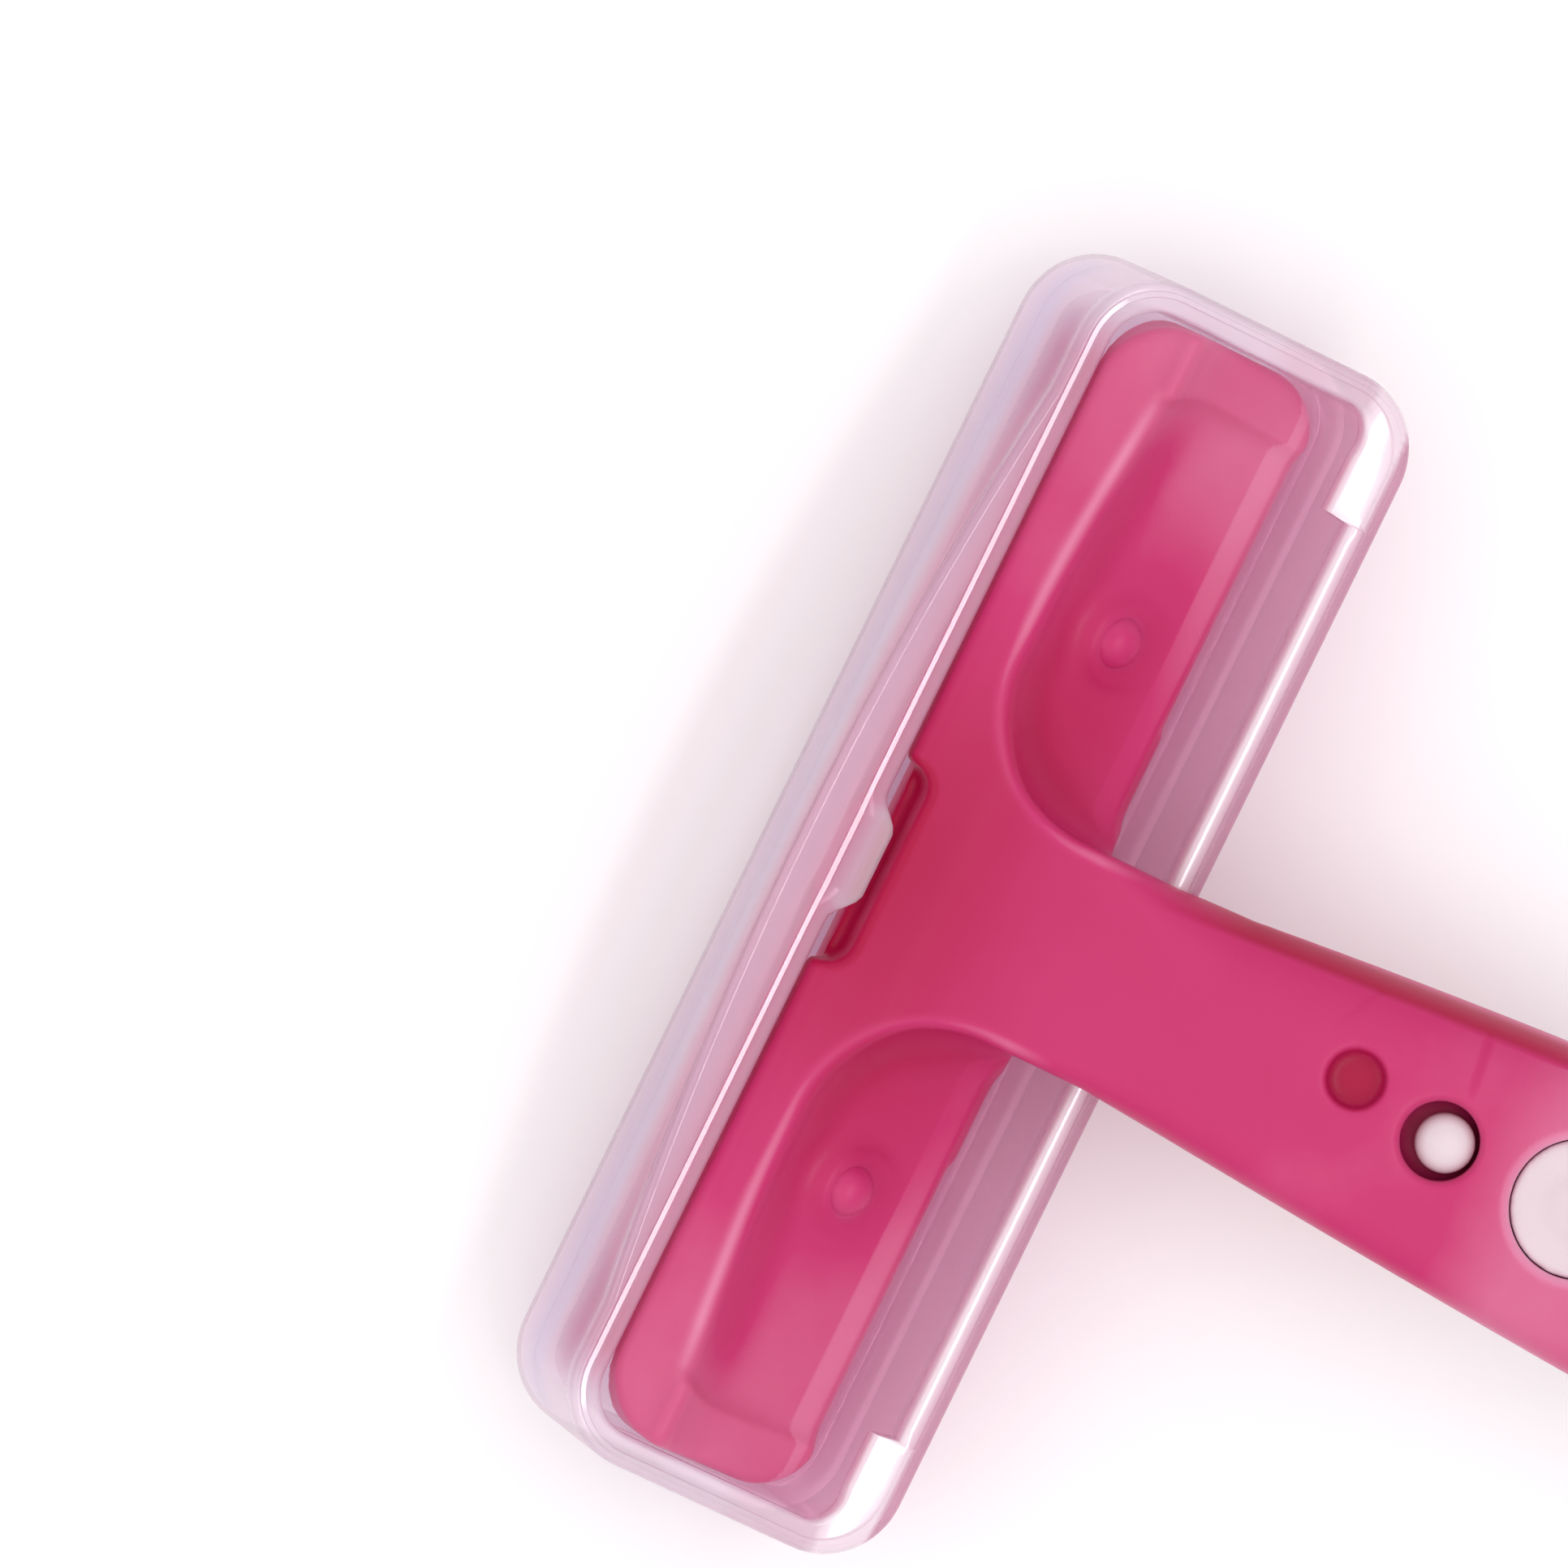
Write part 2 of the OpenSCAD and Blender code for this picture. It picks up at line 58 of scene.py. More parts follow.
# Sizes of the CAD model, in millimetres.
HEAD_LEN, HEAD_W, HEAD_SHIFT, HEAD_CORNER = 44.5, 9.0, 0.8, 2.7
HALF_W = HEAD_W / 2
GUARD_BAR_W, TROUGH_DEPTH, END_WEB_T, END_WEB_RISE = 2.6, 2.6, 1.85, 0.34
BAR_INNER_Y = GUARD_BAR_W - HALF_W
GUARD_CHAMFER, GUARD_BACK_Z, RECESS_TOP_Y, TROUGH_END = 0.6, 3.0, 1.6, 0.65
TAB_LEN, TAB_PITCH, TAB_PROUD, TAB_COUNT = 1.0, 7.65, 0.5, 4
BLADE_LEN, BLADE_W, BLADE_T, BLADE_ANGLE, EDGE_DEPTH = 37.6, 4.4, 0.12, 38.0, 0.35
COMB_T, LIP_CLAMP_S, CLAMP_START_S = 0.12, 0.45, 0.3
POST_GAP, POCKET_GAP, TAB_GAP = 0.03, 0.1, 0.1
POST_INSET, POST_SPAN, POST_R, RIVET_R, POST_TOP = 1.6, 22.0, 0.6, 1.05, 3.1
HANDLE_LEN, NECK_W, NECK_T, BACK_Z = 118.0, 8.0, 2.9, 6.0
GRIP_W, GRIP_T, TAIL_W, BEND_R = 12.6, 4.8, 10.4, 620.0
NECK_Y, WIDE_Y, BEND_Y, NECK_FILLET = -7.0, -50.0, -22.0, 5.0
CROSSBAR_Y, CROSSBAR_END_DROP, CROSSBAR_Z = 1.75, 0.7, 1.6
THUMB_W, THUMB_DEPTH = 5.0, 0.7
PAD_START, PAD_T, PAD_CORNER = 22.2, 1.5, 1.0
SNAP_LEN, SNAP_PROUD, SNAP_GAP = 5.0, 0.7, 0.35
BUBBLES = [
    (19.4, 0, 1.45), (25, 0, 2.55), (33, 0.2, 2.9), (41.8, -0.2, 3.2), (51, 0.2, 3),
    (59.4, -0.2, 2.6), (66.8, 0.2, 2.2), (73, -0.1, 1.8), (78, 0.1, 1.4),
]
DIMPLE_Y, DIMPLE_X, DIMPLE_R, DIMPLE_DEPTH = -15.7, 0.67, 1.05, 0.7
PLUG_GAP, PLUG_SINK = 0.35, 0.1
CAP_WALL, CAP_DEPTH, CAP_RIM, CAP_GAP, CAP_GUARD_SPACE = 1.15, 9.0, 4.6, 0.15, 2.0
CAP_CORNER, RIM_BOW, LIP_T = 3.0, 1.2, 1.0
CORNER_LIP_LEN, CORNER_LIP_W, SNAP_TAPER = 5.0, 1.0, 1.3

# The head's middle in the row frame, and the head's lean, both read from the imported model.
slide_axis = frame["joints"][0]["axis"]
TILT = math.atan2(-slide_axis[1], slide_axis[2])
handle_low, handle_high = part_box("handle_body")
HEAD_MIDDLE = Vector((0, handle_low[1] + HANDLE_LEN * MM, handle_high[2] - BACK_Z * MM))
TO_ROW = Matrix.Translation(HEAD_MIDDLE) @ Matrix.Scale(MM, 4)


# ---------------------------------------------------------------- distance fields

def smooth_max(a, b, k):
    """Intersection with its edge rounded over about k."""
    h = np.maximum(k - np.abs(a - b), 0) / k
    return np.maximum(a, b) + h * h * k * 0.25


def smooth_min(a, b, k):
    return -smooth_max(-a, -b, k)


def fillet_union(a, b, r):
    """Union whose inner corner is a round fillet of radius r."""
    hollow = np.sqrt(np.maximum(r - a, 0) ** 2 + np.maximum(r - b, 0) ** 2)
    return np.maximum(r, np.minimum(a, b)) - hollow


def polygon_field(points, u, v):
    """Signed distance to a polygon in the plane, negative inside."""
    p = np.array(points, dtype=np.float32)
    best = np.full(np.broadcast(u, v).shape, 1e9, np.float32)
    inside = np.zeros(best.shape, bool)
    for a, b in zip(p, np.roll(p, -1, axis=0)):
        e = b - a
        wu, wv = u - a[0], v - a[1]
        t = np.clip((wu * e[0] + wv * e[1]) / (e @ e), 0, 1)
        best = np.minimum(best, (wu - e[0] * t) ** 2 + (wv - e[1] * t) ** 2)
        if e[1] != 0:
            crosses = ((a[1] <= v) != (b[1] <= v)) & (wu < e[0] * wv / e[1])
            inside ^= crosses
    return np.where(inside, -1, 1) * np.sqrt(best)


def soften(field, passes):
    """Rounds a section's corners by averaging its distance field in the (Y, Z) plane."""
    for _ in range(passes):
        padded = np.pad(field, ((0, 0), (1, 1), (1, 1)), mode="edge")
        field = (
            padded[:, 1:-1, 1:-1] * 2 + padded[:, :-2, 1:-1] + padded[:, 2:, 1:-1]
            + padded[:, 1:-1, :-2] + padded[:, 1:-1, 2:]
        ) / 6
    return field


def soften_passes(radius):
    """Passes that round corners to about this radius, whatever the grid's step."""
    return max(1, int(3 * (radius / GRID) ** 2))


def to_head(Y, Z):
    """Head's own coordinates: y to the clamp side, z to the back."""
    c, s = math.cos(TILT), math.sin(TILT)
    return Y * c + Z * s - HEAD_SHIFT, -Y * s + Z * c


def to_blade(y, z):
    """Blade's own coordinates: along the blade from its edge, and off it towards the back."""
    a = math.radians(BLADE_ANGLE)
    return (
        y * math.cos(a) + (z - EDGE_DEPTH) * math.sin(a),
        -y * math.sin(a) + (z - EDGE_DEPTH) * math.cos(a),
    )


def round_rect_field(x, y, half_len, y0, y1, r):
    dx = np.abs(x) - half_len + r
    dy = np.abs(y - (y0 + y1) / 2) - (y1 - y0) / 2 + r
    outside = np.sqrt(np.maximum(dx, 0) ** 2 + np.maximum(dy, 0) ** 2)
    return outside + np.minimum(np.maximum(dx, dy), 0) - r


def half_width(Y):
    t = np.clip((NECK_Y - Y) / (NECK_Y - WIDE_Y), 0, 1)
    widening = (GRIP_W - NECK_W) / 2 * np.sin(t * math.pi / 2)
    t2 = np.clip((WIDE_Y - Y) / (WIDE_Y + HANDLE_LEN - TAIL_W / 2), 0, 1)
    return NECK_W / 2 + widening - (GRIP_W - TAIL_W) / 2 * (1 - np.cos(t2 * math.pi / 2))


def back_height(Y):
    return BACK_Z - np.maximum(BEND_Y - Y, 0) ** 2 / (2 * BEND_R)


def thickness(Y):
    t = np.clip((NECK_Y - Y) / (NECK_Y - BEND_Y), 0, 1)
    return NECK_T + (GRIP_T - NECK_T) * t


def handle_plan(X, Y):
    """The handle's outline seen from the back, with its round end."""
    end_y = TAIL_W / 2 - HANDLE_LEN
    side = np.abs(X) - half_width(Y)
    end = np.sqrt(X ** 2 + (Y - end_y) ** 2) - TAIL_W / 2
    return np.maximum(np.where(Y < end_y, end, side), Y - CROSSBAR_Y - 1)


def ridge(X):
    """Lower edge of the raised crossbar: level in the middle, falling towards the head's ends."""
    t = np.clip((np.abs(X) - HEAD_LEN / 4) / (HEAD_LEN / 4), 0, 1)
    return CROSSBAR_Y - CROSSBAR_END_DROP * t * t * (3 - 2 * t)


def base_section(y, z):
    return polygon_field([
        (-HALF_W, 2.2), (-HALF_W, 0.7), (-HALF_W + 0.5, 0.15), (-HALF_W + 1.3, 0), (BAR_INNER_Y, 0.1),
        (0.1, 0.25), (HALF_W, 3), (HALF_W, 4), (RECESS_TOP_Y, 4.3), (-2.6, 3.3),
        (-HALF_W + GUARD_CHAMFER, GUARD_BACK_Z),
    ], y, z)


def trough_section(y, z):
    return polygon_field([
        (BAR_INNER_Y, -1), (BAR_INNER_Y, TROUGH_DEPTH), (BAR_INNER_Y + 0.7, TROUGH_DEPTH),
        (0.5, 0.95), (0.8, -1),
    ], y, z)


def tabs_field(X, y):
    """The small round tabs on the guard bar's inner edge, seen from the front."""
    field = np.float32(9)
    for i in range(TAB_COUNT):
        x = (i - (TAB_COUNT - 1) / 2) * TAB_PITCH
        tab = round_rect_field(X - x, y, TAB_LEN / 2, BAR_INNER_Y - 1, BAR_INNER_Y + TAB_PROUD, 0.3)
        field = np.minimum(field, tab)
    return field


def pad_region(X, Y, Z):
    """Space of the soft grip's front layer, round-cornered at its start."""
    start = smooth_max(Y + PAD_START, np.abs(X) - half_width(Y) + 0.02, 2.4 * PAD_CORNER)
    start = np.where(Y > -PAD_START - 4, start, Y + PAD_START)
    return np.maximum(start, Z - back_height(Y) + thickness(Y) - PAD_T)


def snap_notch(X, y, z):
    half = SNAP_LEN / 2 + SNAP_GAP
    depth = SNAP_PROUD + SNAP_GAP
    slot = round_rect_field(X, y, half + depth, HALF_W - depth, HALF_W + 6, depth * 0.9)
    slot = np.maximum(slot, CAP_RIM - LIP_T - TAB_GAP - z)
    way_out = np.maximum(np.maximum(np.abs(X) - half, HALF_W - SNAP_PROUD + 0.05 - y), 2 - z)
    return np.minimum(slot, way_out)


def handle_field(X, Y, Z):
    y, z = to_head(Y, Z)
    s, q = to_blade(y, z)
    head = round_rect_field(X, y, HEAD_LEN / 2, -HALF_W, HALF_W, HEAD_CORNER)
    outline = fillet_union(handle_plan(X, Y), ridge(X) - Y, NECK_FILLET)
    roundness = np.where(X > 0, 2.9, 1.0) * np.clip((-4 - Y) / 6, 0, 1) + 0.5
    body = smooth_max(outline, Z - back_height(Y), roundness.astype(np.float32))
    front = np.where(Y > -4.4, CROSSBAR_Z, back_height(Y) - thickness(Y))
    body = smooth_max(body, front - Z, 1.2)
    base = soften(base_section(y, z), soften_passes(0.15))
    web_top = z - GUARD_BACK_Z - END_WEB_RISE * (y + HALF_W - GUARD_CHAMFER)
    web = np.maximum(HEAD_LEN / 2 - END_WEB_T - np.abs(X), web_top)
    web = np.maximum(np.maximum(web, y - RECESS_TOP_Y), GUARD_BACK_Z - 0.5 - z)
    base = fillet_union(base, web, 1.2)
    body = fillet_union(body, base, 1.7)
    near_neck = np.maximum(handle_plan(X, Y) - NECK_FILLET, y - HALF_W)
    body = smooth_max(body, np.minimum(head, near_neck), 0.6)
    for side in (-1, 1):
        r = np.sqrt((X - side * POST_SPAN / 2) ** 2 + (s - POST_INSET) ** 2)
        boss = np.maximum(r - RIVET_R - 0.1, np.abs(q - POST_TOP + 0.6) - 0.6)
        body = smooth_min(body, boss, 1.2)
        seat = np.sqrt(r ** 2 + (q - POST_TOP) ** 2) - RIVET_R + 0.2
        body = smooth_min(body, np.maximum(seat, POST_TOP - 0.4 - q), 0.5)
        body = np.maximum(body, -np.maximum(r - POST_R - POST_GAP, -q))
    clamp_side = np.maximum(-CLAMP_START_S - s, q + COMB_T - 0.04)
    body = np.maximum(body, -clamp_side)
    ends = np.abs(X) - BLADE_LEN / 2
    pocket = np.maximum(np.maximum(ends - POCKET_GAP, s - BLADE_W - POCKET_GAP), q - BLADE_T)
    body = np.maximum(body, -np.maximum(pocket, -1.2 - s))
    trough = soften(trough_section(y, z), soften_passes(0.15))
    trough = smooth_max(trough, ends + TROUGH_END, 1.4)
    trough = np.maximum(trough, -np.maximum(tabs_field(X, y), z - 1.1))
    body = smooth_max(body, -trough, 0.35)
    body = smooth_max(body, -snap_notch(X, y, z), 0.3)
    return body


def grip_cuts(body, X, Y, Z):
    """Cuts the thumb recess, the soft grip's bed and its bubbles into the handle."""
    back = back_height(Y)
    front = back - thickness(Y)
    slot = np.abs(X) - THUMB_W / 2 * (1 - 0.12 * np.sin(np.clip((Y + 12) / 4, -1, 1) * math.pi / 2))
    slot = np.where(Y < 3 - PAD_START, np.sqrt(X ** 2 + (Y + PAD_START - 3) ** 2) - THUMB_W / 2, slot)
    fade = np.clip((-2.5 - Y) / 3, 0, 1)
    slot = np.maximum(smooth_max(slot, Z - front - THUMB_DEPTH * fade, 1.0), Y + 4.5)
    body = smooth_max(body, -slot, 0.4)
    body = smooth_max(body, -pad_region(X, Y, Z), 0.12)
    for y0, x0, r in BUBBLES:
        rod = np.maximum(np.sqrt((X - x0) ** 2 + (Y + y0) ** 2) - r, 3.9 - BACK_Z + back - Z)
        body = smooth_max(body, -rod, 0.35)
    dimple = np.sqrt((X - DIMPLE_X) ** 2 + (Y - DIMPLE_Y) ** 2) - DIMPLE_R
    return smooth_max(body, -smooth_max(dimple, back - DIMPLE_DEPTH - Z, 0.3), 0.25)


def pad_field(X, Y, Z):
    back = back_height(Y)
    front = back - thickness(Y)
    layer = smooth_max(handle_plan(X, Y), front - Z, 1.6)
    layer = smooth_max(layer, pad_region(X, Y, Z) + 0.03, 0.3)
    for y0, x0, r in BUBBLES:
        rho = np.sqrt((X - x0) ** 2 + (Y + y0) ** 2)
        plug_r = r - PLUG_GAP
        if y0 < PAD_START:
            rho = np.sqrt((X - x0) ** 2 + (Y + y0 + 0.22) ** 2)
        dome = back - PLUG_SINK - rho ** 2 / (3.2 * plug_r)
        low = np.where(y0 < PAD_START, 3.9, front + PAD_T - 0.3)
        collar = np.maximum(rho - r + 0.04, Z - back + 0.35) if y0 > PAD_START else rho + 9
        plug = np.maximum(smooth_max(rho - plug_r, Z - dome, 0.5), low - Z)
        layer = np.minimum(layer, np.minimum(plug, np.maximum(collar, low - Z)))
    return layer


def clamp_field(X, Y, Z):
    y, z = to_head(Y, Z)
    s, q = to_blade(y, z)
    face_y = HALF_W - SNAP_PROUD + CAP_GAP - TAB_GAP
    section = polygon_field([
        (0.4, 0.6), (0.75, 0.1), (1.7, -0.05), (face_y - 0.9, 0.5), (face_y - 0.2, 1.3), (face_y, 2.1),
        (face_y, 4.6), (0.4, 4.6),
    ], y, z)
    section = soften(section, soften_passes(0.25))
    section = np.maximum(section, np.maximum(q + COMB_T, LIP_CLAMP_S - s))
    head = round_rect_field(X, y, HEAD_LEN / 2, -HALF_W, face_y, HEAD_CORNER)
    body = smooth_max(section, head, 1.0)
    for side in (-1, 1):
        x = X - side * POST_SPAN / 2
        r = np.sqrt(x ** 2 + (s - POST_INSET) ** 2)
        post = np.maximum(r - POST_R, np.maximum(q - POST_TOP - 0.2, -0.8 - q))
        dome = np.sqrt(x ** 2 + (s - POST_INSET) ** 2 + (q - POST_TOP) ** 2) - RIVET_R
        body = np.minimum(body, np.minimum(post, smooth_max(dome, POST_TOP - 0.2 - q, 0.2)))
    return body


# ---------------------------------------------------------------- fields to meshes

def axes_of(low, high):
    """Grid coordinates as three arrays that broadcast to the whole block."""
    x, y, z = (np.arange(round((b - a) / GRID) + 1, dtype=np.float32) * GRID + a for a, b in zip(low, high))
    return x[:, None, None], y[None, :, None], z[None, None, :]


def surface_net(field, low):
    """Vertices and quads of the surface where the field is zero."""
    corners = [(i, j, k) for i in (0, 1) for j in (0, 1) for k in (0, 1)]
    nx, ny, nz = (n - 1 for n in field.shape)
    inside = field < 0
    count = sum(inside[i:i + nx, j:j + ny, k:k + nz].astype(np.int8) for i, j, k in corners)
    cells = np.argwhere((count > 0) & (count < 8))
    values = [field[cells[:, 0] + i, cells[:, 1] + j, cells[:, 2] + k] for i, j, k in corners]
    total = np.zeros((len(cells), 3), np.float64)
    hits = np.zeros(len(cells))
    for a, ca in enumerate(corners):
        for b, cb in enumerate(corners):
            if b <= a or sum(abs(p - q) for p, q in zip(ca, cb)) != 1:
                continue
            cross = (values[a] < 0) != (values[b] < 0)
            t = np.where(cross, values[a] / np.where(cross, values[a] - values[b], 1), 0)[:, None]
            point = np.array(ca) + t * (np.array(cb) - np.array(ca))
            total += np.where(cross[:, None], point, 0)
            hits += cross
    verts = (cells + total / hits[:, None]) * GRID + np.array(low)
    index = np.full((nx, ny, nz), -1, np.int64)
    index[tuple(cells.T)] = np.arange(len(cells))
    quads = []
    for axis in range(3):
        a, b = [n for n in range(3) if n != axis]
        ends = [slice(1, -1)] * 3
        ends[axis] = slice(None, -1)
        start = inside[tuple(ends)]
        ends[axis] = slice(1, None)
        stop = inside[tuple(ends)]
        at = np.argwhere(start != stop)
        flip = start[tuple(at.T)]
        base = at + [0 if n == axis else 1 for n in range(3)]
        ring = []
        for da, db in ((1, 1), (0, 1), (0, 0), (1, 0)):
            cell = base.copy()
            cell[:, a] -= da
            cell[:, b] -= db
            ring.append(index[tuple(cell.T)])
        ring = np.stack(ring, axis=1)
        if axis == 1:
            flip = ~flip
        quads.append(np.where(flip[:, None], ring, ring[:, ::-1]))
    return verts, np.concatenate(quads)


def relax(verts, quads, passes, keep=0.5):
    """Evens out grid marks: each vertex moves part of the way to its neighbours' middle."""
    edges = np.concatenate([quads[:, [0, 1]], quads[:, [1, 2]], quads[:, [2, 3]], quads[:, [3, 0]]])
    degree = np.maximum(np.bincount(edges.ravel(), minlength=len(verts)), 1)[:, None]
    for _ in range(passes):
        middle = np.zeros_like(verts)
        for n in range(3):
            middle[:, n] = np.bincount(edges[:, 0], verts[edges[:, 1], n], len(verts))
            middle[:, n] += np.bincount(edges[:, 1], verts[edges[:, 0], n], len(verts))
        verts = keep * verts + (1 - keep) * middle / degree
    return verts


def mesh_object(name, verts, faces, smooth_angle=None):
    """A mesh object from points in millimetres about the head's middle."""
    mesh = bpy.data.meshes.new(name)
    mesh.from_pydata(verts.tolist() if hasattr(verts, "tolist") else verts, [], faces)
    mesh.transform(TO_ROW)
    mesh.shade_smooth()
    if smooth_angle:
        mesh.set_sharp_from_angle(angle=math.radians(smooth_angle))
    obj = bpy.data.objects.new(name, mesh)
    bpy.context.scene.collection.objects.link(obj)
    return obj


def field_object(name, field, low, passes=2):
    """A smooth mesh object of a sampled field."""
    verts, quads = surface_net(field, low)
    return mesh_object(name, relax(verts, quads, passes), quads.tolist())


def block_field(blocks, low, high, build):
    """A field over a large box that is only worked out inside the given blocks."""
    shape = tuple(round((b - a) / GRID) + 1 for a, b in zip(low, high))
    field = np.full(shape, 1, np.float32)
    for block_low, block_high in blocks:
        start = [round((b - a) / GRID) for a, b in zip(low, block_low)]
        corner = [a + n * GRID for a, n in zip(low, start)]
        X, Y, Z = axes_of(corner, block_high)
        part = np.broadcast_to(build(X, Y, Z), (X.size, Y.size, Z.size))
        window = tuple(slice(n, n + size) for n, size in zip(start, part.shape))
        field[window] = part
    return field


# ---------------------------------------------------------------- pieces

def build_handle():
    low, high = (-23.4, -118.8, -7.6), (23.4, 6.8, 7.6)
    blocks = [
        ((-7.4, -118.8, -7.6), (7.4, -6.4, 7.6)),
        ((-23.4, -6.4, -4.2), (23.4, 6.8, 7.6)),
    ]
    field = block_field(blocks, low, high, lambda X, Y, Z: grip_cuts(handle_field(X, Y, Z), X, Y, Z))
    return field_object("handle_moulding", field, low)


def build_pad():
    low, high = (-7.4, -118.8, -7.6), (7.4, -17.4, 7.0)
    X, Y, Z = axes_of(low, high)
    field = np.broadcast_to(pad_field(X, Y, Z), (X.size, Y.size, Z.size))
    return field_object("soft_grip", field, low)


def build_clamp():
    low, high = (-23.0, -6.0, -3.4), (23.0, 6.8, 6.4)
    X, Y, Z = axes_of(low, high)
    field = np.broadcast_to(clamp_field(X, Y, Z), (X.size, Y.size, Z.size))
    return field_object("clamp_moulding", field, low, passes=3)


def cap_loop():
    """Points of the cap's outline with their outward normals, and half the cap's length."""
    half = HEAD_LEN / 2 + CAP_GAP + CAP_WALL
    low = -HALF_W - CAP_GUARD_SPACE - CAP_WALL
    top = HALF_W + CAP_GAP + CAP_WALL
    r = CAP_CORNER
    lip_end = half - CORNER_LIP_LEN
    guard_side = np.concatenate([
        np.linspace(-(half - r), -lip_end, 8), np.linspace(-lip_end + 0.12, lip_end - 0.12, 60),
        np.linspace(lip_end, half - r, 8),
    ])
    points = [(x, low, 0, -1) for x in guard_side]
    corners = [
        (half - r, low + r, -90), (half - r, top - r, 0),
        (r - half, top - r, 90), (r - half, low + r, 180),
    ]
    for n, (cx, cy, start) in enumerate(corners):
        for step in range(1, 16):
            a = math.radians(start + 90 * step / 16)
            points.append((cx + r * math.cos(a), cy + r * math.sin(a), math.cos(a), math.sin(a)))
        if n == 0:
            points += [(half, y, 1, 0) for y in np.linspace(low + r, top - r, 10)]
        elif n == 1:
            points += [(x, top, 0, 1) for x in np.linspace(half - r, r - half, 150)]
        elif n == 2:
            points += [(-half, y, -1, 0) for y in np.linspace(top - r, low + r, 10)]
    return np.array(points), half


def cap_ring(loop, half, inset, z, bow=0.0, tab=0.0, corner=0.0):
    """One closed ring of the cap in the head's frame, with shares of its bow, snap tab and corner lips."""
    x, y, nx, ny = loop.T
    px, py = x - nx * inset, y - ny * inset
    chord = HEAD_LEN - 8
    on_top = ny > 0.999
    arch = np.clip(1 - (2 * x / chord) ** 2, 0, 1)
    py = py + np.where(on_top, bow * RIM_BOW * arch, 0)
    flank = np.clip((SNAP_LEN / 2 - np.abs(x)) / SNAP_TAPER, 0, 1)
    flank = flank * flank * (3 - 2 * flank)
    py = py - np.where(on_top, tab * (SNAP_PROUD + CAP_GAP) * flank, 0)
    past_lip = (np.abs(x) >= half - CORNER_LIP_LEN - 0.01) * 1.0
    past = np.where(ny < -0.999, past_lip, np.clip(-ny, 0, 1) ** 1.5)
    px, py = px - nx * corner * CORNER_LIP_W * past, py - ny * corner * CORNER_LIP_W * past
    return np.stack([px, py, np.full_like(px, z)], axis=1)


def head_to_middle(points):
    """Head-frame points to millimetres about the head's middle."""
    c, s = math.cos(TILT), math.sin(TILT)
    y, z = points[:, 1] + HEAD_SHIFT, points[:, 2]
    return np.stack([points[:, 0], y * c - z * s, y * s + z * c], axis=1)


def build_cap():
    """The cap as one loft: out over its far face, up the outside, round the rim and down the inside."""
    loop, half = cap_loop()
    face = CAP_RIM - CAP_DEPTH
    rings = []

    def ring(inset, z, **shape):
        rings.append(cap_ring(loop, half, inset, z, **shape))

    def arc(inset, z, r, start, stop, steps, **shape):
        for n in range(steps + 1):
            a = math.radians(start + (stop - start) * n / steps)
            ring(inset + r * math.cos(a), z + r * math.sin(a), **shape)

    ring(2.2, face)
    arc(0.9, face + 0.9, 0.9, -90, -180, 8)
    for t in np.linspace(0.15, 0.95, 12):
        ring(0, face + t * CAP_DEPTH, bow=t ** 2.2)
    arc(0.3, CAP_RIM - 0.3, 0.3, 180, 90, 5, bow=1.0)
    ring(0.31, CAP_RIM, bow=0.94)
    ring(0.33, CAP_RIM, bow=0.08)
    for inset, rise in ((0.34, 0), (0.36, 0.11), (0.44, 0.118), (0.53, 0.127), (0.56, 0.02), (0.6, 0)):
        ring(inset, CAP_RIM + rise, tab=0.3 * inset ** 3, corner=0.6 * inset ** 2)
    arc(CAP_WALL - 0.2, CAP_RIM - 0.2, 0.2, 90, 0, 4, tab=1.0, corner=1.0)
    arc(CAP_WALL - 0.2, CAP_RIM - LIP_T + 0.2, 0.2, 0, -80, 4, tab=1.0, corner=1.0)
    ring(CAP_WALL - 0.06, CAP_RIM - LIP_T, bow=0.5, tab=0.4, corner=0.4)
    for t in np.linspace(0.84, 0.24, 10):
        ring(CAP_WALL + 0.04, face + t * CAP_DEPTH, bow=0.92 * t ** 2.2)
    arc(CAP_WALL + 0.84, face + CAP_WALL + 0.8, 0.8, 180, 270, 7)
    ring(CAP_WALL + 1.2, face + CAP_WALL)

    n = len(loop)
    verts = head_to_middle(np.concatenate(rings))
    faces = []
    for r in range(len(rings) - 1):
        a, b = r * n, (r + 1) * n
        faces += [(a + i, a + (i + 1) % n, b + (i + 1) % n, b + i) for i in range(n)]
    faces.append(tuple(range(n))[::-1])
    faces.append(tuple((len(rings) - 1) * n + i for i in range(n)))
    return mesh_object("clear_cap", verts, faces, smooth_angle=50)


# ---------------------------------------------------------------- materials

def srgb(r, g, b):
    """A colour given as 0 to 255 values on screen, as linear light."""
    linear = [((v / 255 + 0.055) / 1.055) ** 2.4 if v > 10 else v / 255 / 12.92 for v in (r, g, b)]
    return (*linear, 1)


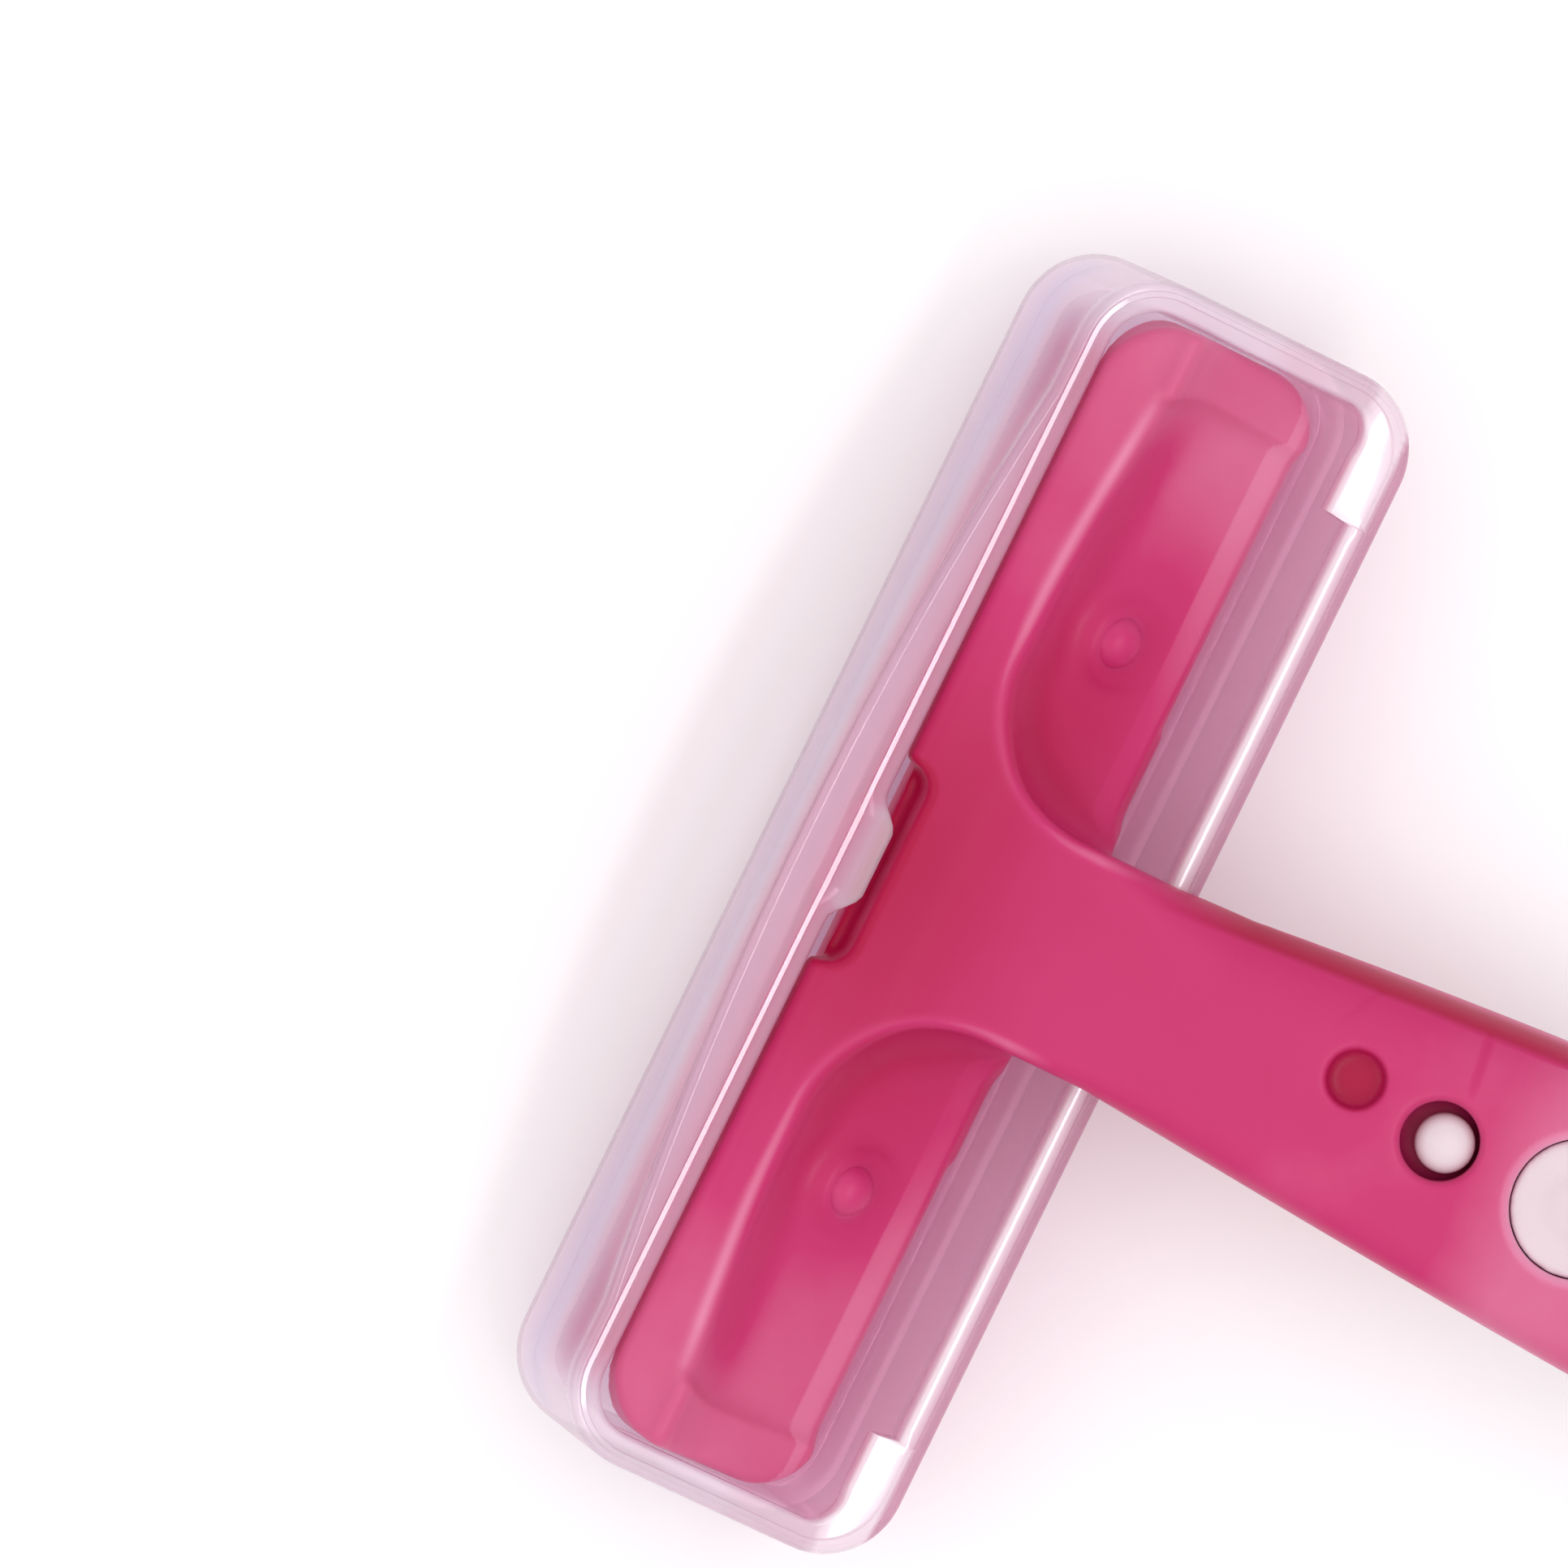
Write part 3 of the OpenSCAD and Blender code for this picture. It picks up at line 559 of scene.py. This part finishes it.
class Shader:
    """A small helper that adds nodes and links by name."""

    def __init__(self, name):
        self.material = bpy.data.materials.new(name)
        self.material.use_nodes = True
        self.tree = self.material.node_tree
        self.bsdf = self.tree.nodes["Principled BSDF"]

    def add(self, kind, inputs=None, **settings):
        node = self.tree.nodes.new(kind)
        for key, value in settings.items():
            setattr(node, key, value)
        for key, value in (inputs or {}).items():
            self.feed(node, key, value)
        return node

    def feed(self, node, socket, value):
        if isinstance(value, bpy.types.NodeSocket):
            self.tree.links.new(value, node.inputs[socket])
        else:
            node.inputs[socket].default_value = value

    def set(self, **values):
        for key, value in values.items():
            self.feed(self.bsdf, key.replace("_", " "), value)

    def noise(self, scale, detail=3, stretch=(1, 1, 1)):
        """Noise in the row frame, scale in features per millimetre."""
        place = self.add("ShaderNodeTexCoord").outputs["Object"]
        spread = self.add("ShaderNodeMapping", {"Vector": place, "Scale": stretch})
        texture = self.add(
            "ShaderNodeTexNoise", {"Vector": spread.outputs[0], "Scale": scale / MM, "Detail": detail}
        )
        return texture.outputs["Fac"]

    def blend(self, factor, low, high):
        mix = self.add("ShaderNodeMix", data_type="RGBA")
        self.feed(mix, "Factor", factor)
        self.feed(mix, 6, low)
        self.feed(mix, 7, high)
        return mix.outputs[2]

    def spread(self, factor, low, high):
        node = self.add("ShaderNodeMapRange", {"Value": factor, "To Min": low, "To Max": high})
        return node.outputs[0]

    def bump(self, height, strength, distance):
        node = self.add("ShaderNodeBump", {"Height": height, "Strength": strength, "Distance": distance * MM})
        return node.outputs[0]


def pink_plastic():
    """Glossy, slightly see-through pink moulding with light and shade painted into its colour: paler where
    thin, as painted light, deeper in hollows, as painted shade, and faint flow lines.
    """
    m = Shader("pink_plastic")
    patch = m.noise(0.12, 4)
    flow = m.noise(0.5, 3, stretch=(1, 0.25, 1))
    # The tone attribute brings painted light and shade, and the flow lines, into the colour.
    tone = m.add("ShaderNodeAttribute", attribute_name="tone").outputs["Fac"]
    mottle_and_painted_shade = m.add("ShaderNodeMath", {0: m.spread(patch, -0.11, 0.11), 1: tone}, operation="ADD").outputs[0]
    low = m.add("ShaderNodeMapRange", {"Value": mottle_and_painted_shade, "From Max": 0.5}).outputs[0]
    high = m.add("ShaderNodeMapRange", {"Value": mottle_and_painted_shade, "From Min": 0.5}).outputs[0]
    colour = m.blend(high, m.blend(low, srgb(168, 4, 62), srgb(194, 48, 106)), srgb(232, 160, 190))
    fine = m.noise(9, 2)
    m.set(
        Base_Color=colour, Roughness=m.spread(flow, 0.3, 0.42),
        Normal=m.bump(fine, 0.12, 0.02),
        Subsurface_Weight=0.2, Subsurface_Radius=(1.0, 0.25, 0.45), Subsurface_Scale=1.2 * MM,
        Specular_IOR_Level=0.22,
    )
    return m.material


def soft_white():
    m = Shader("soft_grip")
    tone = m.blend(m.noise(0.3, 3), srgb(212, 192, 199), srgb(226, 211, 217))
    m.set(
        Base_Color=tone, Roughness=m.spread(m.noise(2.0, 2), 0.42, 0.58),
        Normal=m.bump(m.noise(12, 2), 0.2, 0.02),
        Subsurface_Weight=0.3, Subsurface_Radius=(1.0, 0.8, 0.85), Subsurface_Scale=0.8 * MM,
    )
    return m.material


def blade_steel():
    m = Shader("blade_steel")
    grind = m.noise(6, 2, stretch=(1, 0.05, 0.05))
    tone = m.blend(grind, srgb(96, 84, 92), srgb(168, 158, 166))
    rough = m.spread(grind, 0.18, 0.34)
    m.set(Base_Color=tone, Metallic=1.0, Roughness=rough, Normal=m.bump(grind, 0.15, 0.01))
    return m.material


def guard_metal():
    m = Shader("guard_metal")
    tone = m.blend(m.noise(3, 3), srgb(226, 224, 226), srgb(250, 249, 250))
    m.set(
        Base_Color=tone, Metallic=0.35, Roughness=m.spread(m.noise(5, 2), 0.3, 0.45),
        Normal=m.bump(m.noise(14, 2), 0.1, 0.01),
    )
    return m.material


def clear_plastic():
    """Clear moulded plastic: see-through where faced, milky and faintly mauve where seen along its walls,
    with painted pink and bluish reflections and a rim brightened as painted light.
    """
    m = Shader("clear_plastic")
    haze = m.noise(0.2, 3)
    ripple = m.bump(m.noise(0.2, 1), 0.15, 0.15)
    painted_pink_reflection = m.add("ShaderNodeAttribute", attribute_name="painted_pink_reflection").outputs["Fac"]
    painted_blue_reflection = m.add("ShaderNodeAttribute", attribute_name="painted_blue_reflection").outputs["Fac"]
    tint = m.blend(haze, srgb(248, 240, 250), srgb(254, 246, 250))
    # Painted reflections: the tint turns pink and bluish where the head's colours are painted onto the cap.
    tint = m.blend(painted_pink_reflection, m.blend(painted_blue_reflection, tint, srgb(232, 230, 250)), srgb(240, 158, 194))
    through = m.add("ShaderNodeBsdfTransparent", {"Color": tint})
    refract = m.add(
        "ShaderNodeBsdfRefraction", {"Color": tint, "Roughness": 0.05, "IOR": 1.2, "Normal": ripple}
    )
    clear = m.add("ShaderNodeMixShader", {"Fac": 0.25, 1: through.outputs[0], 2: refract.outputs[0]})
    facing = m.add("ShaderNodeLayerWeight", {"Blend": 0.5}).outputs["Facing"]
    edge = m.add("ShaderNodeMapRange", {"Value": facing, "From Min": 0.8, "From Max": 1.0}).outputs[0]
    milky = m.blend(edge, m.blend(haze, srgb(244, 226, 235), srgb(251, 241, 246)), srgb(176, 112, 144))
    # The milky colour also takes the painted pink reflection.
    m.set(
        Base_Color=m.blend(painted_pink_reflection, milky, srgb(232, 128, 172)),
        Roughness=0.3,
        Subsurface_Weight=0.4, Subsurface_Radius=(1, 0.8, 0.9), Subsurface_Scale=0.8 * MM,
    )
    walls = m.add(
        "ShaderNodeMapRange", {"Value": facing, "From Min": 0.7, "To Min": 0.06, "To Max": 0.5}
    ).outputs[0]
    # Painted light: the rim is made milkier and brighter, standing in for the light it catches.
    rim = m.add("ShaderNodeAttribute", attribute_name="milk_and_rim_light").outputs["Fac"]
    milk_and_rim_light = m.add("ShaderNodeMath", {0: walls, 1: rim}, operation="MAXIMUM").outputs[0]
    body = m.add("ShaderNodeMixShader", {"Fac": milk_and_rim_light, 1: clear.outputs[0], 2: m.bsdf.outputs[0]})
    gloss = m.add("ShaderNodeBsdfGlossy", {"Color": srgb(255, 252, 254), "Roughness": 0.08, "Normal": ripple})
    steep = m.add("ShaderNodeMath", {0: facing, 1: 4.0}, operation="POWER").outputs[0]
    shine = m.add("ShaderNodeMapRange", {"Value": steep, "To Min": 0.045, "To Max": 0.55})
    mix = m.add("ShaderNodeMixShader", {"Fac": shine.outputs[0], 1: body.outputs[0], 2: gloss.outputs[0]})
    m.feed(m.tree.nodes["Material Output"], "Surface", mix.outputs[0])
    return m.material


def floor_white():
    m = Shader("floor_white")
    m.set(Base_Color=m.blend(m.noise(0.002, 2), srgb(251, 250, 251), srgb(254, 253, 254)), Roughness=0.6)
    return m.material


def points_of(obj):
    """A mesh's vertices in millimetres about the head's middle, as three arrays."""
    co = np.empty(len(obj.data.vertices) * 3, np.float32)
    obj.data.vertices.foreach_get("co", co)
    return ((co.reshape(-1, 3) - np.array(HEAD_MIDDLE)) / MM).T


def store(obj, name, values):
    """Keeps one value for each vertex, for a material to read."""
    layer = obj.data.attributes.new(name, "FLOAT", "POINT")
    layer.data.foreach_set("value", values.astype(np.float32))


def paint_cap(obj):
    """Marks the cap's milky rim, brightened as painted light, and paints pink and blue reflections onto the
    walls as when the head stands beside them.
    """
    x, Y, Z = points_of(obj)
    y, z = to_head(Y, Z)
    inner = HALF_W + CAP_GUARD_SPACE
    at_rim = np.clip((z - CAP_RIM + 1.1) / 0.7, 0, 1)
    guard_side = np.clip((-y - inner + 1.4) / 0.3, 0, 1)
    outer = np.clip((-y - inner - 0.45) / 0.2, 0, 1)
    # Painted light: the rim is made milkier and brighter.
    milk_and_rim_light = at_rim * (0.3 + guard_side * (0.35 - 0.5 * outer))
    clamp_side = np.clip((y - HALF_W + 0.2) / 0.3, 0, 1)
    beside = np.clip((HEAD_LEN / 2 - 0.5 - np.abs(x)) / 2, 0, 1)
    # Painted reflection: pink on the walls where the head's pink would show through them.
    painted_pink_reflection = clamp_side * beside * np.clip((z - 0.2) / 2.8, 0, 1) * (1 - 0.55 * at_rim)
    guard_wall = np.clip((-y - HALF_W + 0.3) / 0.5, 0, 1) * (1 - at_rim)
    painted_pink_reflection = np.maximum(painted_pink_reflection, np.maximum(0.4 * guard_side * outer * at_rim, 0.32 * guard_wall))
    # Painted reflection: a bluish band on the clamp side's wall.
    painted_blue_reflection = clamp_side * np.clip(1 - np.abs(z + 0.8) / 2.2, 0, 1)
    store(obj, "milk_and_rim_light", milk_and_rim_light)
    store(obj, "painted_pink_reflection", painted_pink_reflection)
    store(obj, "painted_blue_reflection", painted_blue_reflection)


def paint_tone_and_shade(obj, on_clamp=False):
    """Tone of the pink at each vertex, with light and shade painted in: 0 deep, as painted shade where thick
    or hollowed, 1 pale where light passes, with painted highlights; the flow lines are the moulding's own
    marks.
    """
    X, Y, Z = points_of(obj)
    y, z = to_head(Y, Z)
    # Painted light: the thin guard bar is made pale, standing in for light shining on it and through it.
    across = np.clip((BAR_INNER_Y + 0.15 - y) / 0.3, 0, 1)
    front = np.clip((2.0 - z) / 1.2, 0, 1)
    along = np.clip((BLADE_LEN / 2 + 1 - np.abs(X)) / 3, 0, 1)
    bar = np.where(Y > -9, across * front * along, 0)
    # Painted light and shade: paler towards the head's thin ends, deeper where the head meets the neck and is
    # thick.
    tone = 0.5 + 0.12 * np.clip((np.abs(X) - 7) / 12, 0, 1) * np.clip((Y + 9) / 3, 0, 1)
    tone -= (0.12 if on_clamp else 0.42) * np.exp(-(X / 8) ** 2 - ((Y - 2.5) / 4.5) ** 2)
    tone += 0.13 * np.clip((-PAD_START + 1.5 - Y) / 3, 0, 1)
    # Painted highlight: lighter bands along the sloped back of the guard bar.
    guard_back_highlight = np.clip((-2.85 - y) / 0.1, 0, 1) * np.clip((z - 2.0) / 0.3, 0, 1) * (Z < 2.6)
    tone += guard_back_highlight * (0.1 - 0.08 * np.clip((-3.78 - y) / 0.1, 0, 1)) * (np.abs(X) > NECK_W / 2)
    # Painted highlight along the crossbar's ridge line and painted shade in the fillet just below it.
    edge = fillet_union(handle_plan(X, Y), ridge(X) - Y, NECK_FILLET)
    ridge_shading_zone = np.clip((Y + 6) / 2, 0, 1) * np.clip((z - 3.0) / 0.5, 0, 1) * (y < 3.5)
    ridge_shading_zone = ridge_shading_zone * np.clip((20 - np.abs(X)) / 2.5, 0, 1)
    # Painted shade: the floor of the snap notch is made deep.
    notch = snap_notch(X, y, z)
    tone -= 0.4 * np.clip((0.35 - notch) / 0.3, 0, 1) * np.clip((z - 2.6) / 0.3, 0, 1)
    tone += ridge_shading_zone * (0.2 * np.exp(-((edge + 0.3) / 0.22) ** 2) - 0.14 * np.exp(-((edge - 0.9) / 0.7) ** 2))
    # Painted shade: a dark band along the handle's upper side edge.
    side_shade_band = np.clip((X - half_width(Y) + 0.95) / 0.25, 0, 1) * np.clip((-6 - Y) / 4, 0, 1)
    tone -= 0.5 * side_shade_band * np.clip((Z - back_height(Y) + 2.5) / 0.6, 0, 1)
    # Painted shade in the back's recess on either side of the neck.
    for side in (-1, 1):
        tone -= 0.16 * np.exp(-((X - side * 9.5) / 4.5) ** 2 - ((Y + 1.5) / 2.5) ** 2)
    s, q = to_blade(y, z)
    # Painted highlight on the tops of the rivet nubs.
    for side in (-1, 1):
        nub = np.sqrt((X - side * POST_SPAN / 2) ** 2 + (s - POST_INSET) ** 2) - RIVET_R
        tone += 0.1 * np.clip((0.2 - nub) / 0.3, 0, 1) * np.clip((q - POST_TOP) / 0.3, 0, 1)
    # Painted light: paler round the rims of the bubble holes, lightening their gaps.
    for y0, x0, r in BUBBLES[1:]:
        rim = np.sqrt((X - x0) ** 2 + (Y + y0) ** 2) - r
        tone += 0.3 * np.clip((0.4 - rim) / 0.4, 0, 1) * np.clip((Z - back_height(Y) + 1.6) / 0.4, 0, 1)
    # Painted shade inside the blind dimple.
    dimple = np.sqrt((X - DIMPLE_X) ** 2 + (Y - DIMPLE_Y) ** 2) - DIMPLE_R
    tone -= 0.5 * np.clip(0.2 - dimple, 0, 0.4) / 0.4 * np.clip((Z - 4) / 0.4, 0, 1)
    # Painted shade in the trough under the blade.
    trough = np.clip((y - BAR_INNER_Y + 0.05) / 0.1, 0, 1) * np.clip((1.2 - y) / 0.3, 0, 1)
    inside = np.clip((BLADE_LEN / 2 - 0.8 - np.abs(X)) / 0.6, 0, 1)
    tone -= 0.45 * trough * np.clip((2.9 - z) / 0.3, 0, 1) * inside * (not on_clamp)
    flow = np.exp(-((Y + 19.9 - 0.12 * X) / 0.12) ** 2) + 0.6 * np.exp(-((Y + 13.2 + 0.5 * X) / 0.15) ** 2)
    tone -= 0.13 * flow * np.clip((X - 1.8) / 0.8, 0, 1) * np.clip((Z - 4) / 0.5, 0, 1)
    # Painted light: the guard bar's tabs are made pale in the same way as the bar.
    tabs = np.clip((0.12 - tabs_field(X, y)) / 0.1, 0, 1) * np.clip((1.4 - z) / 0.3, 0, 1) * (Y > -9)
    tone = np.clip(np.maximum(tone, np.maximum(bar * 0.95, 0.85 * tabs)), 0, 1)
    store(obj, "tone", tone)


# ---------------------------------------------------------------- assembly

def dress(obj, material, body, slot, *nodes):
    """Gives a piece its material and its body, and hides the CAD nodes it stands for. The slot argument is
    not used.
    """
    obj.data.materials.clear()
    obj.data.materials.append(material)
    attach(obj, body)
    if nodes:
        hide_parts(*nodes)


pink = pink_plastic()
handle = build_handle()
paint_tone_and_shade(handle)
dress(handle, pink, "razor", "pink_plastic", "handle_body")
clamp = build_clamp()
paint_tone_and_shade(clamp, on_clamp=True)
dress(clamp, pink, "razor", "clamp_plastic", "blade_clamp")
dress(build_pad(), soft_white(), "razor", "soft_grip", "grip_pad")
cap = build_cap()
paint_cap(cap)
dress(cap, clear_plastic(), "cap", "clear_plastic", "cap")
for node_name, material in (("blade", blade_steel()), ("blade_guard", guard_metal())):
    node_mesh = frame["nodes"][node_name].data
    node_mesh.materials.clear()
    node_mesh.materials.append(material)


# ---------------------------------------------------------------- floor, light and camera

def add_floor():
    mesh = bpy.data.meshes.new("floor")
    size = 1.5
    corners = [(-size, -size, 0), (size, -size, 0), (size, size, 0), (-size, size, 0)]
    mesh.from_pydata(corners, [], [(0, 1, 2, 3)])
    floor = bpy.data.objects.new("floor", mesh)
    bpy.context.scene.collection.objects.link(floor)
    mesh.materials.append(floor_white())


def add_light(name, place, size, power, target=(0, 0.04, 0)):
    lamp = bpy.data.lights.new(name, "AREA")
    lamp.shape = "RECTANGLE"
    lamp.size, lamp.size_y = size
    lamp.energy = power
    obj = bpy.data.objects.new(name, lamp)
    obj.location = place
    obj.rotation_euler = (Vector(target) - Vector(place)).to_track_quat("-Z", "Y").to_euler()
    bpy.context.scene.collection.objects.link(obj)


def add_camera():
    """Looks down on the razor's back, turned so that the handle leaves at the lower right."""
    turn, lean = math.radians(26.1), math.radians(1.5)
    view_width, distance = 0.0565, 0.6
    right = Vector((math.sin(turn), -math.cos(turn), 0))
    up = Vector((math.cos(turn), math.sin(turn), 0))
    away = Matrix.Rotation(lean, 3, "Y") @ Vector((0, 0, 1))
    right = (right - away * right.dot(away)).normalized()
    up = away.cross(right)
    aim = HEAD_MIDDLE + Vector((0, 0, 0.004)) - right * 0.00617 + up * 0.00427
    lens = bpy.data.cameras.new("camera")
    lens.sensor_width = 36
    lens.lens = 36 * distance / view_width
    lens.clip_start = 0.01
    camera = bpy.data.objects.new("camera", lens)
    axes = Matrix((right, up, away)).transposed().to_4x4()
    camera.matrix_world = Matrix.Translation(aim + away * distance) @ axes
    bpy.context.scene.collection.objects.link(camera)
    bpy.context.scene.camera = camera


def set_world():
    world = bpy.data.worlds.new("studio")
    world.use_nodes = True
    tree = world.node_tree
    sky = tree.nodes.new("ShaderNodeTexCoord")
    split = tree.nodes.new("ShaderNodeSeparateXYZ")
    level = tree.nodes.new("ShaderNodeMapRange")
    level.inputs["From Max"].default_value = 0.75
    level.inputs["To Min"].default_value = 0.4
    level.inputs["To Max"].default_value = 1.14
    background = tree.nodes["Background"]
    background.inputs["Color"].default_value = (1, 0.99, 0.995, 1)
    tree.links.new(sky.outputs["Generated"], split.inputs[0])
    tree.links.new(split.outputs["Z"], level.inputs["Value"])
    tree.links.new(level.outputs[0], background.inputs["Strength"])
    bpy.context.scene.world = world
    bpy.context.scene.view_settings.view_transform = "Standard"


add_floor()
set_world()
add_light("key", (-0.2, 0.35, 0.5), (0.3, 0.3), 0.25)
add_light("strip", (0.0, -0.137, 0.47), (0.4, 0.035), 0.45, target=(0, 0.05, 0))
add_camera()
